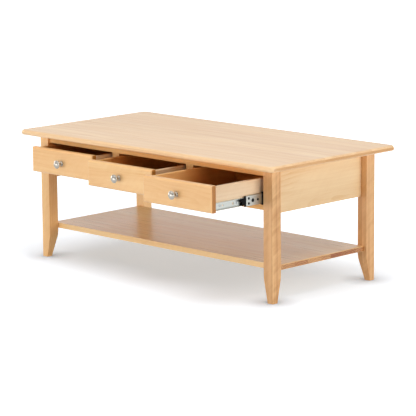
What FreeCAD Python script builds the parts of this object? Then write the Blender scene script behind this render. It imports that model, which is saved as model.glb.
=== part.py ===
import FreeCAD, Part
import math
import os

# Coffee table with three drawers on telescopic ball runners, in millimetres.
# The origin is on the floor in the middle of the four feet.
# +X runs to the right along the table's length, -Y is the drawer side and +Z is up.

# Table top
top_length = 1200.0
top_width = 600.0
top_thickness = 18.0
top_corner_radius = 20.0
top_upper_edge_radius = 10.0
top_lower_edge_radius = 6.0
table_height = 450.0

# Legs, square and straight outside, tapered on the two inner faces near the foot
leg_section = 40.0
leg_end_inset = 48.0
leg_side_inset = 54.0
leg_edge_radius = 2.0
foot_section = 23.0
taper_height = 92.0
taper_bend_radius = 120.0

# Panels and front frame between the legs
panel_thickness = 15.0
panel_height = 150.0
panel_edge_radius = 1.5
frame_recess = 8.0
frame_thickness = 20.0
frame_edge_radius = 1.0
top_rail_height = 27.0
opening_height = 91.0
lower_rail_height = 18.0
stile_width = 32.0
cleat_height = 60.0

# Shelf between the front and back legs
shelf_top_height = 118.0
shelf_thickness = 18.0
shelf_end_inset = 12.0
shelf_edge_radius = 3.0

# Drawer boxes
front_thickness = 20.0
front_recess = 1.0
front_side_gap = 7.0
front_height_gap = 2.5
front_edge_radius = 7.0
side_thickness = 12.0
side_bottom_rise = 4.0
side_top_drop = 4.5
side_edge_radius = 1.5
back_thickness = 12.0
back_end_inset = 8.0
back_top_drop = 6.0
bottom_thickness = 5.0
bottom_rise = 5.5
bottom_groove_depth = 5.0
bottom_play = 0.3
housing_depth = 6.0
back_housing_depth = 3.0

# How far each drawer stands open, and how far the middle runners follow
drawer_openings = {"left": 81.0, "centre": 143.0, "right": 225.0}
follow_share = 0.5

# Telescopic runners, three sheet channels one inside the other
runner_back_gap = 49.0
runner_height = 42.0
runner_width = 12.7
runner_sheet = 1.0
runner_bend_radius = 0.8
runner_front_inset = 2.0
runner_lift = 0.5
runner_play = 1.5
head_play = 0.6
gap_play = 0.6
ball_diameter = 2.8
ball_play = 0.3
ball_pitch = 21.0
ball_end_inset = 16.0
balls_per_row = 7

# Holes in the web of the middle runner, from its front end
web_pair_inset = 12.0
web_pair_spacing = 16.0
web_small_hole = 8.5
web_large_inset = 30.0
web_large_hole = 12.5
web_last_inset = 53.0

# Plastic stop on the front end of the middle runner
stop_bar_length = 8.0
stop_nose_length = 10.0
stop_nose_height = 24.0
stop_lever_length = 13.0
stop_lever_root = 9.0
stop_lever_tip = 3.0
stop_thickness = 2.0
stop_reach = 12.5

# Plastic mouth on the front end of the fixed runner
mouth_overhang = 4.0
mouth_grip = 6.0
mouth_play = 0.4

# Runner screws, with the places of the screws as shares of the runner from its front end
screw_head_diameter = 7.0
screw_head_height = 1.6
screw_shank_diameter = 3.5
screw_hole_play = 0.2
case_screw_bite = 11.0
drawer_screw_bite = 9.0
case_screw_shares = [0.12, 0.4, 0.88]
drawer_screw_shares = [0.0525, 0.235, 0.825]

# Spare holes and upright slots in the web of the sliding runner, placed as its screws are
spare_hole = 5.5
spare_slot_height = 9.5
spare_hole_shares = [0.0875, 0.2825, 0.79]
spare_slot_shares = [0.2, 0.865]

# Knobs and the screws that hold them
knob_projection = 30.0
knob_head_diameter = 28.0
knob_head_depth = 10.0
knob_neck_diameter = 9.0
knob_base_diameter = 16.0
knob_base_depth = 2.0
knob_screw_diameter = 4.0
knob_screw_bite = 12.0
knob_screw_head_diameter = 8.5
knob_screw_head_height = 2.6
knob_rim_depth = 3.0

# Dowels in the wood joints
dowel_diameter = 8.0
dowel_play = 0.1
dowel_end_gap = 1.0
long_dowel_depth = 15.0
short_dowel_depth = 12.0
shelf_dowel_shares = [0.25, 0.75]
side_dowel_shares = [0.27, 0.73]
back_dowel_shares = [0.13, 0.87]
stile_dowel_shares = [0.25, 0.75]
partition_dowel_shares = [0.36, 0.6]
top_dowel_share = 0.7

# One overrun for all cuts that break through a surface, and the slack in finding an edge
overrun = 2.0
nearly = 0.001

# Heights that follow from the sizes above
case_top = table_height - top_thickness
panel_bottom = case_top - panel_height
opening_top = case_top - top_rail_height
opening_bottom = opening_top - opening_height
frame_bottom = opening_bottom - lower_rail_height
shelf_bottom = shelf_top_height - shelf_thickness
runner_axis = opening_bottom + runner_lift + runner_height / 2

# Places along the length
leg_outer_x = top_length / 2 - leg_end_inset
leg_inner_x = leg_outer_x - leg_section
shelf_end = leg_outer_x - shelf_end_inset
bay_count = len(drawer_openings)
bay_width = (2 * leg_inner_x - (bay_count - 1) * stile_width) / bay_count
bay_pitch = bay_width + stile_width
bay_centres = {"left": -bay_pitch, "centre": 0.0, "right": bay_pitch}
stile_centres = {"left": -bay_pitch / 2, "right": bay_pitch / 2}

# Places across the width
leg_outer_y = top_width / 2 - leg_side_inset
leg_inner_y = leg_outer_y - leg_section
frame_front = -leg_outer_y + frame_recess
frame_back = frame_front + frame_thickness

# The drawer box when it is shut, with runners that fit the depth of the case
shut_front = -leg_outer_y + front_recess
shut_back = shut_front + front_thickness
fixed_start = shut_front + runner_front_inset
runner_length = leg_inner_y - runner_back_gap - fixed_start
front_width = bay_width - 2 * front_side_gap
front_bottom = opening_bottom + front_height_gap
front_top = opening_top - front_height_gap
box_width = bay_width - 2 * runner_width
box_bottom = front_bottom + side_bottom_rise
box_top = front_top - side_top_drop
box_end = shut_back + runner_length
back_front = box_end - back_end_inset - back_thickness
back_top = box_top - back_top_drop
inside_width = box_width - 2 * side_thickness
floor_bottom = box_bottom + bottom_rise
floor_top = floor_bottom + bottom_thickness
groove_top = floor_top + bottom_play
knob_height = (front_bottom + front_top) / 2

# The three channels of a runner: reach from the wall, and half heights
fixed_reach = front_side_gap - gap_play
fixed_half = runner_height / 2
ball_space = ball_diameter + 2 * ball_play
middle_web = runner_sheet + screw_head_height + head_play
middle_reach = runner_width - runner_sheet - runner_play
middle_half = fixed_half - runner_sheet - ball_space
stop_length = stop_bar_length + stop_nose_length + stop_lever_length
middle_start = shut_back - stop_reach + stop_length
sliding_tip = middle_web + runner_sheet + runner_play
sliding_half = middle_half - runner_sheet - ball_space
outer_ball_reach = (middle_web + fixed_reach) / 2
inner_ball_reach = (sliding_tip + middle_reach) / 2

X_AXIS = FreeCAD.Vector(1, 0, 0)
Y_AXIS = FreeCAD.Vector(0, 1, 0)
Z_AXIS = FreeCAD.Vector(0, 0, 1)


def point(x, y, z):
    return FreeCAD.Vector(x, y, z)


def board(x, y, z):
    """A box between two values on each axis, in any order."""
    low = point(min(x), min(y), min(z))
    high = point(max(x), max(y), max(z))
    size = high - low
    return Part.makeBox(size.x, size.y, size.z, low)


def rod(start, end, diameter):
    run = end - start
    return Part.makeCylinder(diameter / 2, run.Length, start, run)


def prism(points, run):
    """A closed outline of straight lines, pushed along a vector."""
    outline = Part.makePolygon(points + points[:1])
    return Part.Face(outline).extrude(run)


def turned(base, along, outline):
    """Turns an outline of lines and arcs, in radius and reach, about a line from a base point."""
    out = Z_AXIS

    def at(place):
        radius, reach = place
        return base + radius * out + reach * along

    edges = []
    for stretch in outline:
        corners = [at(place) for place in stretch]
        edges.append(Part.makeLine(*corners) if len(corners) == 2 else Part.Arc(*corners).toShape())
    return Part.Face(Part.Wire(edges)).revolve(base, along, 360)


def cap(radius, rim, crown):
    """A dome's outline from its rim to the axis, as an arc square to the axis."""
    height = abs(crown - rim)
    outward = math.copysign(1, crown - rim)
    sphere = (radius ** 2 + height ** 2) / (2 * height)
    half_turn = math.asin(radius / sphere) / 2
    middle = (sphere * math.sin(half_turn), crown - outward * sphere * (1 - math.cos(half_turn)))
    return [(radius, rim), middle, (0, crown)]


def single(shape):
    """The one solid that a cut or a join leaves."""
    solid, = shape.Solids
    return solid


def ease(shape, radius, wanted):
    """Rounds the edges that the test picks out."""
    edges = [edge for edge in shape.Edges if wanted(edge)]
    return shape.makeFillet(radius, edges)


def runs_along(edge, axis):
    if edge.Curve.TypeId != "Part::GeomLine":
        return False
    return abs(edge.tangentAt(edge.FirstParameter).cross(axis).Length) < nearly


def lies_at(edge, axis, place):
    """Says whether a whole edge lies in the plane across an axis at a place."""
    box = edge.BoundBox
    low = point(box.XMin, box.YMin, box.ZMin).dot(axis)
    high = point(box.XMax, box.YMax, box.ZMax).dot(axis)
    return abs(low - place) < nearly and abs(high - place) < nearly


def ease_between(shape, radius, along, axis, place):
    """Rounds the edges that run along one axis and lie at a place on another."""
    return ease(shape, radius, lambda edge: runs_along(edge, along) and lies_at(edge, axis, place))


def span(centre, width):
    """The two ends of a width about its centre."""
    return (centre - width / 2, centre + width / 2)


def save(name, shape):
    shape.exportStep(f"parts/{name}.step")


def make_top():
    shape = board(span(0, top_length), span(0, top_width), (case_top, table_height))
    shape = ease(shape, top_corner_radius, lambda edge: runs_along(edge, Z_AXIS))
    shape = ease(shape, top_upper_edge_radius, lambda edge: lies_at(edge, Z_AXIS, table_height))
    return ease(shape, top_lower_edge_radius, lambda edge: lies_at(edge, Z_AXIS, case_top))


def taper_wedge(place, run):
    """The wood cut from one inner face of a leg: a bend that runs into a straight taper."""
    lost = leg_section - foot_section
    spare = 2 * taper_bend_radius - lost
    root = math.sqrt(taper_height ** 2 - spare * lost)
    turn = 2 * math.atan((taper_height - root) / spare)
    bend_centre = leg_section - taper_bend_radius

    def on_bend(angle):
        reach = bend_centre + taper_bend_radius * math.cos(angle)
        return place(reach, taper_height - taper_bend_radius * math.sin(angle))

    corners = [
        on_bend(turn),
        place(foot_section - overrun * math.tan(turn), -overrun),
        place(leg_section + overrun, -overrun),
        place(leg_section + overrun, taper_height),
        on_bend(0),
    ]
    edges = [Part.Arc(on_bend(0), on_bend(turn / 2), on_bend(turn)).toShape()]
    edges += [Part.makeLine(a, b) for a, b in zip(corners, corners[1:])]
    return Part.Face(Part.Wire(edges)).extrude(run)


def make_leg(side, end):
    """One leg, with side -1 or 1 along X and end -1 or 1 along Y."""
    outer_x = side * leg_outer_x
    outer_y = end * leg_outer_y
    start_x = outer_x + side * overrun
    start_y = outer_y + end * overrun
    depth = leg_section + 2 * overrun
    post = board((outer_x, side * leg_inner_x), (outer_y, end * leg_inner_y), (0, case_top))
    along = taper_wedge(lambda reach, z: point(outer_x - side * reach, start_y, z), -end * depth * Y_AXIS)
    across = taper_wedge(lambda reach, z: point(start_x, outer_y - end * reach, z), -side * depth * X_AXIS)
    shape = single(post.cut([along, across]))
    return ease(shape, leg_edge_radius, lambda edge: edge.BoundBox.ZLength > foot_section / 2)


def make_shelf():
    shape = board((-shelf_end, shelf_end), (-leg_inner_y, leg_inner_y), (shelf_bottom, shelf_top_height))
    return ease(shape, shelf_edge_radius, lambda edge: runs_along(edge, Y_AXIS))


def make_side_panel(side):
    x = (side * leg_inner_x, side * (leg_inner_x + panel_thickness))
    shape = board(x, (-leg_inner_y, leg_inner_y), (panel_bottom, case_top))
    return ease_between(shape, panel_edge_radius, Y_AXIS, Z_AXIS, panel_bottom)


def make_back_panel():
    y = (leg_inner_y, leg_inner_y + panel_thickness)
    shape = board((-leg_inner_x, leg_inner_x), y, (panel_bottom, case_top))
    return ease_between(shape, panel_edge_radius, X_AXIS, Z_AXIS, panel_bottom)


def make_rail(z):
    shape = board((-leg_inner_x, leg_inner_x), (frame_front, frame_back), z)
    return ease_between(shape, frame_edge_radius, X_AXIS, Y_AXIS, frame_front)


def make_stile(centre):
    shape = board(span(centre, stile_width), (frame_front, frame_back), (opening_bottom, opening_top))
    return ease_between(shape, frame_edge_radius, Z_AXIS, Y_AXIS, frame_front)


def make_partition(centre):
    return board(span(centre, panel_thickness), (frame_back, leg_inner_y), (frame_bottom, case_top))


def make_cleats():
    """The strips that pack each partition out to the width of its stile."""
    z = span(runner_axis, cleat_height)
    strips = []
    for centre in stile_centres.values():
        for side in (-1, 1):
            x = (centre + side * panel_thickness / 2, centre + side * stile_width / 2)
            strips.append(board(x, (frame_back, leg_inner_y), z))
    return strips


def dowel_places():
    """Each dowel as the point where it crosses its joint, its axis and its depth."""
    places = []
    shelf_middle = (shelf_bottom + shelf_top_height) / 2
    frame_middle = (frame_front + frame_back) / 2
    for side in (-1, 1):
        for end in (-1, 1):
            joint_y = end * leg_inner_y
            for share in shelf_dowel_shares:
                x = side * (leg_inner_x + share * (shelf_end - leg_inner_x))
                places.append((point(x, joint_y, shelf_middle), Y_AXIS, long_dowel_depth))
            for share in side_dowel_shares:
                x = side * (leg_inner_x + panel_thickness / 2)
                z = panel_bottom + share * panel_height
                places.append((point(x, joint_y, z), Y_AXIS, long_dowel_depth))
            x = side * (leg_inner_x + top_dowel_share * leg_section)
            y = end * (leg_inner_y + top_dowel_share * leg_section)
            places.append((point(x, y, case_top), Z_AXIS, short_dowel_depth))
        joint_x = side * leg_inner_x
        for share in back_dowel_shares:
            z = panel_bottom + share * panel_height
            places.append((point(joint_x, leg_inner_y + panel_thickness / 2, z), X_AXIS, long_dowel_depth))
        for z in (opening_top + top_rail_height / 2, opening_bottom - lower_rail_height / 2):
            places.append((point(joint_x, frame_middle, z), X_AXIS, long_dowel_depth))
    for centre in stile_centres.values():
        for share in stile_dowel_shares:
            x = centre - stile_width / 2 + share * stile_width
            for z in (opening_bottom, opening_top):
                places.append((point(x, frame_middle, z), Z_AXIS, short_dowel_depth))
        for share in partition_dowel_shares:
            z = opening_bottom + share * opening_height
            for y in (frame_back, leg_inner_y):
                places.append((point(centre, y, z), Y_AXIS, short_dowel_depth))
    return places


def make_dowels(places):
    dowels = []
    holes = []
    for middle, axis, depth in places:
        reach = (depth - dowel_end_gap) * axis
        dowels.append(rod(middle - reach, middle + reach, dowel_diameter))
        holes.append(rod(middle - depth * axis, middle + depth * axis, dowel_diameter + 2 * dowel_play))
    return dowels, holes


def drill(shape, holes):
    """Cuts the holes that reach into a piece."""
    near = [hole for hole in holes if hole.BoundBox.intersect(shape.BoundBox)]
    return single(shape.cut(near)) if near else shape


def channel(wall, side, web, tip, half, y):
    """A sheet channel on a wall, with its web and its flange tips at two reaches from that wall."""
    toward = 1 if tip > web else -1
    back = wall + side * web
    outside = board((back, wall + side * tip), y, span(runner_axis, 2 * half))
    outside = ease_between(outside, runner_bend_radius, Y_AXIS, X_AXIS, back)
    inner_x = (back + side * toward * runner_sheet, wall + side * (tip + toward * overrun))
    inner_z = span(runner_axis, 2 * (half - runner_sheet))
    hollow = board(inner_x, (min(y) - overrun, max(y) + overrun), inner_z)
    return single(outside.cut(hollow))


def web_hole(wall, side, web, y, z, diameter):
    start = point(wall + side * (web - overrun), y, z)
    end = point(wall + side * (web + overrun), y, z)
    return rod(start, end, diameter)


def web_slot(wall, side, web, y):
    """An upright slot through a web: two round ends and the piece between them."""
    straight = spare_slot_height - spare_hole
    ends = [web_hole(wall, side, web, y, z, spare_hole) for z in span(runner_axis, straight)]
    x = (wall + side * (web - overrun), wall + side * (web + overrun))
    return ends + [board(x, span(y, spare_hole), span(runner_axis, straight))]


def screw(head_seat, along, bite):
    """A round-headed screw, with its head's seat at a point and its shank along a unit vector."""
    head_radius = screw_head_diameter / 2
    shank_radius = screw_shank_diameter / 2
    outline = [
        cap(head_radius, 0, -screw_head_height),
        [(0, -screw_head_height), (0, bite)],
        [(0, bite), (shank_radius, bite)],
        [(shank_radius, bite), (shank_radius, 0)],
        [(shank_radius, 0), (head_radius, 0)],
    ]
    return turned(head_seat, along, outline)


def screw_hole(head_seat, along, bite):
    diameter = screw_shank_diameter + 2 * screw_hole_play
    return rod(head_seat - overrun * along, head_seat + (bite + screw_hole_play) * along, diameter)


def runner_walls(bay):
    """The two walls of a bay, each with the direction from the wall to the drawer."""
    centre = bay_centres[bay]
    return [(centre - bay_width / 2, 1), (centre + bay_width / 2, -1)]


def make_fixed_runners(bay):
    runners = []
    screws = []
    holes = []
    for wall, side in runner_walls(bay):
        y = (fixed_start, fixed_start + runner_length)
        runner = channel(wall, side, 0, fixed_reach, fixed_half, y)
        seat_x = wall + side * runner_sheet
        places = [fixed_start + share * runner_length for share in case_screw_shares]
        seats = [point(seat_x, place, runner_axis) for place in places]
        own_holes = [screw_hole(seat, -side * X_AXIS, case_screw_bite) for seat in seats]
        runners.append(single(runner.cut(own_holes)))
        screws += [screw(seat, -side * X_AXIS, case_screw_bite) for seat in seats]
        holes += own_holes
    return runners, screws, holes


def make_mouths(bay):
    """The plastic mouths of the fixed runners: a sleeve in the channel and a lip in front of it."""
    room_half = middle_half + mouth_play
    room_start = middle_web - mouth_play
    lip_front = fixed_start - mouth_overhang
    sleeve_back = fixed_start + mouth_grip
    mouths = []
    for wall, side in runner_walls(bay):
        tip = wall + side * fixed_reach
        lip = board((wall, tip), (lip_front, fixed_start), span(runner_axis, runner_height))
        sleeve_x = (wall + side * runner_sheet, tip)
        sleeve_z = span(runner_axis, runner_height - 2 * runner_sheet)
        sleeve = board(sleeve_x, (fixed_start, sleeve_back), sleeve_z)
        room_x = (wall + side * room_start, tip + side * overrun)
        room = board(room_x, (lip_front - overrun, sleeve_back + overrun), span(runner_axis, 2 * room_half))
        mouths.append(single(lip.fuse(sleeve).cut(room).removeSplitter()))
    return mouths


def make_middle_runners(bay):
    shift = follow_share * drawer_openings[bay]
    start = middle_start - shift
    runners = []
    for wall, side in runner_walls(bay):
        runner = channel(wall, side, middle_web, middle_reach, middle_half, (start, box_end - shift))
        web_holes = []
        for z in span(runner_axis, web_pair_spacing):
            web_holes.append(web_hole(wall, side, middle_web, start + web_pair_inset, z, web_small_hole))
        for inset, diameter in ((web_large_inset, web_large_hole), (web_last_inset, web_small_hole)):
            web_holes.append(web_hole(wall, side, middle_web, start + inset, runner_axis, diameter))
        runners.append(single(runner.cut(web_holes)))
    return runners


def make_balls(bay):
    """Outer balls run at the back of the middle runner and inner balls at its front."""
    shift = follow_share * drawer_openings[bay]
    places = []
    for wall, side in runner_walls(bay):
        for up in (-1, 1):
            outer_z = runner_axis + up * (middle_half + ball_space / 2)
            inner_z = runner_axis + up * (sliding_half + ball_space / 2)
            for number in range(balls_per_row):
                step = ball_end_inset + number * ball_pitch
                places.append(point(wall + side * outer_ball_reach, box_end - shift - step, outer_z))
                places.append(point(wall + side * inner_ball_reach, middle_start - shift + step, inner_z))
    return [Part.makeSphere(ball_diameter / 2, place) for place in places]


def make_stops(bay):
    """The plastic stops on the front ends of the middle runners, each with a lever."""
    end = middle_start - follow_share * drawer_openings[bay]
    bar_front = end - stop_bar_length
    nose_front = bar_front - stop_nose_length
    half_nose = stop_nose_height / 2
    outline = [
        (end, -middle_half),
        (end, middle_half),
        (bar_front, middle_half),
        (bar_front, half_nose),
        (nose_front, stop_lever_root),
        (nose_front - stop_lever_length, stop_lever_tip),
        (nose_front, 0),
        (nose_front, -half_nose),
        (bar_front, -half_nose),
        (bar_front, -middle_half),
    ]
    stops = []
    for wall, side in runner_walls(bay):
        x = wall + side * middle_web
        corners = [point(x, y, runner_axis + z) for y, z in outline]
        stops.append(prism(corners, side * stop_thickness * X_AXIS))
    return stops


def make_sliding_runners(bay):
    shift = drawer_openings[bay]
    start = shut_back - shift
    runners = []
    screws = []
    holes = []
    for wall, side in runner_walls(bay):
        runner = channel(wall, side, runner_width, sliding_tip, sliding_half, (start, box_end - shift))
        seat_x = wall + side * (runner_width - runner_sheet)
        places = [start + share * runner_length for share in drawer_screw_shares]
        seats = [point(seat_x, place, runner_axis) for place in places]
        own_holes = [screw_hole(seat, side * X_AXIS, drawer_screw_bite) for seat in seats]
        spares = []
        for share in spare_hole_shares:
            y = start + share * runner_length
            spares.append(web_hole(wall, side, runner_width, y, runner_axis, spare_hole))
        for share in spare_slot_shares:
            spares += web_slot(wall, side, runner_width, start + share * runner_length)
        runners.append(single(runner.cut(own_holes + spares)))
        screws += [screw(seat, side * X_AXIS, drawer_screw_bite) for seat in seats]
        holes += own_holes
    return runners, screws, holes


def make_drawer_front(bay):
    centre = bay_centres[bay]
    front = shut_front - drawer_openings[bay]
    back = front + front_thickness
    shape = board(span(centre, front_width), (front, back), (front_bottom, front_top))
    shape = ease(shape, front_edge_radius, lambda edge: lies_at(edge, Y_AXIS, front))
    cuts = []
    for side in (-1, 1):
        outer = centre + side * box_width / 2
        x = (outer, outer - side * side_thickness)
        cuts.append(board(x, (back - housing_depth, back + overrun), (box_bottom, box_top)))
    groove_y = (back - bottom_groove_depth, back + overrun)
    cuts.append(board(span(centre, inside_width), groove_y, (floor_bottom, groove_top)))
    hole_start = point(centre, front - overrun, knob_height)
    hole_end = point(centre, back + overrun, knob_height)
    cuts.append(rod(hole_start, hole_end, knob_screw_diameter + 2 * screw_hole_play))
    return single(shape.cut(cuts))


def make_drawer_side(bay, side):
    centre = bay_centres[bay]
    shift = drawer_openings[bay]
    outer = centre + side * box_width / 2
    inner = outer - side * side_thickness
    start = shut_back - housing_depth - shift
    shape = board((outer, inner), (start, box_end - shift), (box_bottom, box_top))
    shape = ease_between(shape, side_edge_radius, Y_AXIS, Z_AXIS, box_top)
    tenon = board((outer, inner), (start, start + housing_depth), (box_bottom, box_top))
    shape = shape.fuse(tenon).removeSplitter()
    groove_x = (inner + side * bottom_groove_depth, inner - side * overrun)
    groove = board(groove_x, (start - overrun, back_front - shift), (floor_bottom, groove_top))
    back_y = (back_front - shift, back_front + back_thickness - shift)
    housing_x = (inner + side * back_housing_depth, inner - side * overrun)
    housing = board(housing_x, back_y, (box_bottom - overrun, back_top))
    return single(shape.cut([groove, housing]))


def make_drawer_back(bay):
    centre = bay_centres[bay]
    shift = drawer_openings[bay]
    front = back_front - shift
    width = inside_width + 2 * back_housing_depth
    shape = board(span(centre, width), (front, front + back_thickness), (box_bottom, back_top))
    groove_y = (front - overrun, front + bottom_groove_depth)
    groove_x = span(centre, width + 2 * overrun)
    return single(shape.cut(board(groove_x, groove_y, (floor_bottom, groove_top))))


def make_drawer_bottom(bay):
    centre = bay_centres[bay]
    shift = drawer_openings[bay]
    front = shut_back - shift
    back = back_front - shift
    tongue_depth = bottom_groove_depth - bottom_play
    z = (floor_bottom, floor_top)
    sheet = board(span(centre, inside_width + 2 * tongue_depth), (front, back), z)
    tongue_x = span(centre, inside_width - 2 * bottom_play)
    tongue = board(tongue_x, (front - tongue_depth, back + tongue_depth), z)
    return single(sheet.fuse(tongue).removeSplitter())


def make_knob(bay):
    """A turned mushroom knob: base, waisted neck and domed head."""
    base = point(bay_centres[bay], shut_front - drawer_openings[bay], knob_height)
    head_radius = knob_head_diameter / 2
    base_radius = knob_base_diameter / 2
    neck_radius = knob_neck_diameter / 2
    head_start = knob_projection - knob_head_depth
    waist = (knob_base_depth + head_start) / 2
    rim = head_start + knob_rim_depth
    bore_radius = knob_screw_diameter / 2 + screw_hole_play
    bore_end = knob_screw_bite + screw_hole_play
    outline = [
        [(bore_radius, 0), (base_radius, 0)],
        [(base_radius, 0), (base_radius, knob_base_depth)],
        [(base_radius, knob_base_depth), (neck_radius, waist), (base_radius, head_start)],
        [(base_radius, head_start), (head_radius, rim)],
        cap(head_radius, rim, knob_projection),
        [(0, knob_projection), (0, bore_end)],
        [(0, bore_end), (bore_radius, bore_end)],
        [(bore_radius, bore_end), (bore_radius, 0)],
    ]
    return turned(base, -Y_AXIS, outline)


def make_knob_screw(bay):
    """A machine screw from inside the drawer, through the front and into the knob."""
    centre = bay_centres[bay]
    front = shut_front - drawer_openings[bay]
    seat = point(centre, front + front_thickness, knob_height)
    tip = point(centre, front - knob_screw_bite, knob_height)
    head_end = point(centre, front + front_thickness + knob_screw_head_height, knob_height)
    head = rod(seat, head_end, knob_screw_head_diameter)
    return single(head.fuse(rod(tip, seat, knob_screw_diameter)))


def build_table():
    dowels, holes = make_dowels(dowel_places())
    fixed = {bay: make_fixed_runners(bay) for bay in bay_centres}
    case_screws = [one for runners, screws, cuts in fixed.values() for one in screws]
    screw_holes = [one for runners, screws, cuts in fixed.values() for one in cuts]
    holes += screw_holes
    save("table_top", drill(make_top(), holes))
    for end_name, end in (("front", -1), ("back", 1)):
        for side_name, side in (("left", -1), ("right", 1)):
            save(f"{end_name}_{side_name}_leg", drill(make_leg(side, end), holes))
    for side_name, side in (("left", -1), ("right", 1)):
        save(f"{side_name}_side_panel", drill(make_side_panel(side), holes))
        save(f"{side_name}_stile", drill(make_stile(stile_centres[side_name]), holes))
        save(f"{side_name}_partition", drill(make_partition(stile_centres[side_name]), holes))
    save("back_panel", drill(make_back_panel(), holes))
    save("top_rail", drill(make_rail((opening_top, case_top)), holes))
    save("lower_rail", drill(make_rail((frame_bottom, opening_bottom)), holes))
    save("shelf", drill(make_shelf(), holes))
    save("runner_cleats", Part.makeCompound([drill(strip, screw_holes) for strip in make_cleats()]))
    save("dowels", Part.makeCompound(dowels))
    save("fixed_runner_screws", Part.makeCompound(case_screws))
    for bay, (runners, screws, cuts) in fixed.items():
        save(f"{bay}_fixed_runners", Part.makeCompound(runners))
        save(f"{bay}_runner_mouths", Part.makeCompound(make_mouths(bay)))


def build_drawer(bay):
    runners, screws, holes = make_sliding_runners(bay)
    save(f"{bay}_sliding_runners", Part.makeCompound(runners))
    save(f"{bay}_runner_screws", Part.makeCompound(screws))
    save(f"{bay}_drawer_front", make_drawer_front(bay))
    for side_name, side in (("left", -1), ("right", 1)):
        save(f"{bay}_drawer_{side_name}_side", drill(make_drawer_side(bay, side), holes))
    save(f"{bay}_drawer_back", make_drawer_back(bay))
    save(f"{bay}_drawer_bottom", make_drawer_bottom(bay))
    save(f"{bay}_knob", make_knob(bay))
    save(f"{bay}_knob_screw", make_knob_screw(bay))
    save(f"{bay}_middle_runners", Part.makeCompound(make_middle_runners(bay)))
    save(f"{bay}_runner_stops", Part.makeCompound(make_stops(bay)))
    save(f"{bay}_runner_balls", Part.makeCompound(make_balls(bay)))


os.makedirs("parts", exist_ok=True)
build_table()
for bay_name in bay_centres:
    build_drawer(bay_name)
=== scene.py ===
"""Finishes a wooden coffee table: figured boards, ball runners, knobs, fasteners and a plain stage."""
import math
from types import SimpleNamespace

import bmesh
import bpy
from bpy.props import FloatProperty, FloatVectorProperty, IntProperty, PointerProperty
from mathutils import Matrix, Vector


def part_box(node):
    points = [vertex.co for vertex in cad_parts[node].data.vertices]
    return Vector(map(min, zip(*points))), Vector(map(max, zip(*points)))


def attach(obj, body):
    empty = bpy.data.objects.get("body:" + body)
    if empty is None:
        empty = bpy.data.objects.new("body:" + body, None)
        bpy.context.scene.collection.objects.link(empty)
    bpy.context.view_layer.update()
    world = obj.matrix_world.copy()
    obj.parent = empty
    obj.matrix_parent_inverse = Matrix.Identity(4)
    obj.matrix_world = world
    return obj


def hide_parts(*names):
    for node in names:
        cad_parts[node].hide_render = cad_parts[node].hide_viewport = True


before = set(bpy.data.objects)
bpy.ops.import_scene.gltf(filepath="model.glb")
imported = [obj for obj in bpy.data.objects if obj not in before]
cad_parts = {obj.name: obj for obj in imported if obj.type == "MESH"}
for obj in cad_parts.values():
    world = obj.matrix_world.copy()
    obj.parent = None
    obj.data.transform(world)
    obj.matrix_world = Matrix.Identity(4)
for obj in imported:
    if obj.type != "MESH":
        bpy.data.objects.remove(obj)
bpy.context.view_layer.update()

bl_info = {
    "name": "Coffee Table with Drawers",
    "version": (1, 0, 0),
    "blender": (4, 5, 0),
    "location": "3D View > Sidebar > Coffee Table",
    "description": "Finishes, runners, knobs and fasteners of a wooden coffee table",
    "category": "Add Mesh",
}

BAYS = ("left", "centre", "right")
SIDES = ("left", "right")
ENDS = ("front", "back")
ALONG_X = Vector((1, 0, 0))
ALONG_Y = Vector((0, 1, 0))
ALONG_Z = Vector((0, 0, 1))
WHITE = (1.0, 1.0, 1.0, 1.0)
LAMPS = ("key", "fill", "side", "back", "left")

# Points nearer than this are one, in metres
MERGE_DISTANCE = 1e-6

# Edges that turn by more than this stay sharp, in degrees
SHARP_EDGE = 35
SHARP_KNOB_EDGE = 40

# How often the marks of the wood change in a metre, along the grain and across it
STREAK_RATES = (4.0, 150.0)
FADE_RATES = (2.2, 9.0)
FLECK_RATES = (120.0, 1900.0)
PORE_RATES = (90.0, 2600.0)

# How often the marks of the metals and the plastic change in a metre, along X, Y and Z
ROLLED_RATES = (900.0, 25.0, 900.0)
POLISHED_RATES = (160.0, 160.0, 160.0)
PLATED_RATES = (400.0, 400.0, 400.0)
TURNED_RATES = (700.0, 140.0, 700.0)
MOULDED_RATES = (2200.0, 2200.0, 2200.0)


def shown(red, green, blue):
    """A colour as it shows, from 0 to 255, as the linear values that shaders take."""
    def linear(value):
        part = value / 255
        return part / 12.92 if part <= 0.04045 else ((part + 0.055) / 1.055) ** 2.4

    return (linear(red), linear(green), linear(blue))


def colour(name, description, default):
    return FloatVectorProperty(
        name=name, description=description, subtype="COLOR", size=3, min=0, max=1, default=default
    )


def length(name, description, default):
    return FloatProperty(name=name, description=description, unit="LENGTH", precision=5, default=default)


def share(name, description, default):
    return FloatProperty(name=name, description=description, subtype="FACTOR", default=default)


def turn(name, description, default):
    return FloatProperty(name=name, description=description, subtype="ANGLE", default=math.radians(default))


def power(name, description, default):
    return FloatProperty(name=name, description=description, unit="POWER", default=default)


def lamp_size(name, *default):
    about = "Width and height of this lamp"
    return FloatVectorProperty(name=name, description=about, unit="LENGTH", size=2, default=default)


def lamp_place(name, *default):
    about = "Where this lamp hangs"
    return FloatVectorProperty(name=name, description=about, subtype="TRANSLATION", size=3, default=default)


def light_tone(red, green, blue):
    return colour("Light wood", "Colour between the growth rings", shown(red, green, blue))


def dark_tone(red, green, blue):
    return colour("Dark wood", "Colour of the growth rings and streaks", shown(red, green, blue))


def rosy_tone(red, green, blue):
    return colour("Rosy wood", "Tint of the pinker staves", shown(red, green, blue))


def end_tone(red, green, blue):
    return colour("End grain", "Colour where the fibres are cut across", shown(red, green, blue))


def stave_width(default):
    return length("Stave width", "Mean width of the glued staves", default)


def ring_spacing(default):
    return length("Ring spacing", "Distance between two growth rings", default)


def figure_contrast(default):
    return share("Figure", "Contrast of rings and streaks", default)


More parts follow.
